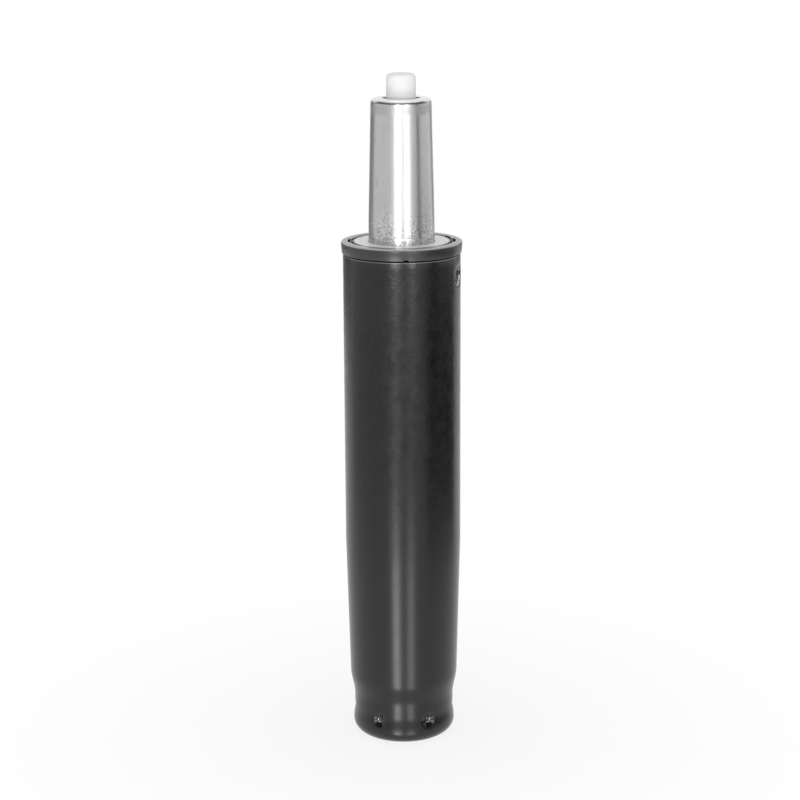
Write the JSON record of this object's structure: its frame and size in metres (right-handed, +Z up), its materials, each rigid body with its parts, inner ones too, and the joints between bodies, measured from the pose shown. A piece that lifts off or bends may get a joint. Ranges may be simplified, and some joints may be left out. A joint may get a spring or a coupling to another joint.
{
  "type": "chair gas lift cylinder",
  "caption": "Black steel column with a tapered foot, a bright tapered gas spring that slides and turns in it, and a white release button on top.",
  "frame": {"origin": "middle of the foot's rolled edge, on the floor", "axes": "+Z up along the column and the gas spring; -Y is the front that the picture shows, and +X is its right"},
  "size_m": [0.0516, 0.0516, 0.29],
  "materials": {
    "powder_coat": "satin black powder coat",
    "collar_plastic": "moulded, fine grain",
    "bushing_plastic": "moulded acetal",
    "tube_steel": "ground and polished along its length",
    "plain_steel": "drawn",
    "pressed_steel": "zinc plated pressing",
    "bearing_steel": "hardened and ground",
    "rod_chrome": "hard chromed",
    "brass": "turned",
    "rubber": "moulded",
    "piston_plastic": "moulded, glass filled",
    "button_plastic": "translucent white, moulded"
  },
  "bodies": {
    "column": {"column_tube": "powder_coat", "top_collar": "collar_plastic", "guide_bushing": "bushing_plastic", "base_cup": "pressed_steel", "bearing_lower_race": "bearing_steel"},
    "rod": {"piston_rod": "rod_chrome", "piston": "piston_plastic", "piston_seal": "rubber", "piston_nut": "plain_steel", "bearing_upper_race": "bearing_steel", "bumper_seat": "pressed_steel", "rubber_bumper": "rubber", "rod_washer": "pressed_steel", "retaining_clip": "plain_steel"},
    "ball_cage": {"bearing_cage": "brass", "bearing_balls": "bearing_steel"},
    "gas_spring": {"pressure_tube": "tube_steel", "inner_tube": "plain_steel", "rod_guide": "piston_plastic", "rod_seal": "rubber", "seal_backing_ring": "plain_steel", "valve_body": "brass", "valve_spacer": "plain_steel", "valve_o_ring_upper": "rubber", "valve_o_ring_lower": "rubber", "pin_seal_upper": "rubber", "pin_seal_lower": "rubber"},
    "button": {"release_pin": "bearing_steel", "button_cap": "button_plastic"}
  },
  "joints": [
    {"name": "swivel", "type": "hinge", "parent": "column", "child": "rod", "pos_m": [0, 0, 0.0122], "axis": [0, 0, 1], "continuous": true},
    {"name": "ball_cage_turn", "type": "hinge", "parent": "column", "child": "ball_cage", "pos_m": [0, 0, 0.0122], "axis": [0, 0, 1], "continuous": true},
    {"name": "lift", "type": "slide", "parent": "rod", "child": "gas_spring", "axis": [0, 0, 1], "range_m": [0, 0.11]},
    {"name": "button_press", "type": "slide", "parent": "gas_spring", "child": "button", "axis": [0, 0, -1], "range_m": [0, 0.004], "stiffness_N_per_m": 2500, "springref_m": -0.004}
  ],
  "couplings": [
    {"joint": "ball_cage_turn", "follows": "swivel", "ratio": 0.5}
  ]
}
